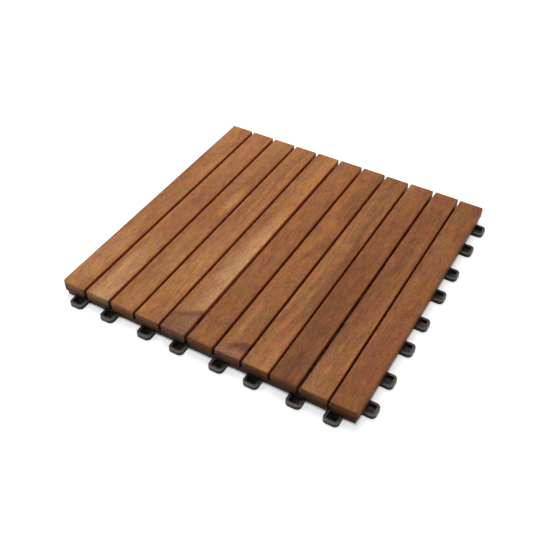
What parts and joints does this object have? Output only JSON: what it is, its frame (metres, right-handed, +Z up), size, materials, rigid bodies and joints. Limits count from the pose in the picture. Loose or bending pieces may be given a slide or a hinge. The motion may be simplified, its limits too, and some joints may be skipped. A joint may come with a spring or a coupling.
{
  "type": "interlocking deck tile",
  "caption": "Square deck tile of parallel hardwood slats screwed to a moulded plastic base grid, with loops on two edges and pegs on the other two.",
  "frame": {"origin": "centre of the slat field at floor level, on the underside of the middle foot", "axes": "+X across the slats towards the edge with loops on the long side of the last slat, +Y along the slats away from the loops on the slat ends, +Z up through the walking face"},
  "size_m": [0.464, 0.464, 0.026],
  "materials": {
    "slat_wood": "oiled, satin, with fine grain along the slat",
    "base_plastic": "moulded, fine matte texture",
    "screw_steel": "zinc plated"
  },
  "bodies": {
    "root": {"base_grid": "base_plastic", "slat_01": "slat_wood", "slat_02": "slat_wood", "slat_03": "slat_wood", "slat_04": "slat_wood", "slat_05": "slat_wood", "slat_06": "slat_wood", "slat_07": "slat_wood", "slat_08": "slat_wood", "slat_09": "slat_wood", "slat_10": "slat_wood", "slat_11": "slat_wood", "screws": "screw_steel"}
  },
  "joints": []
}
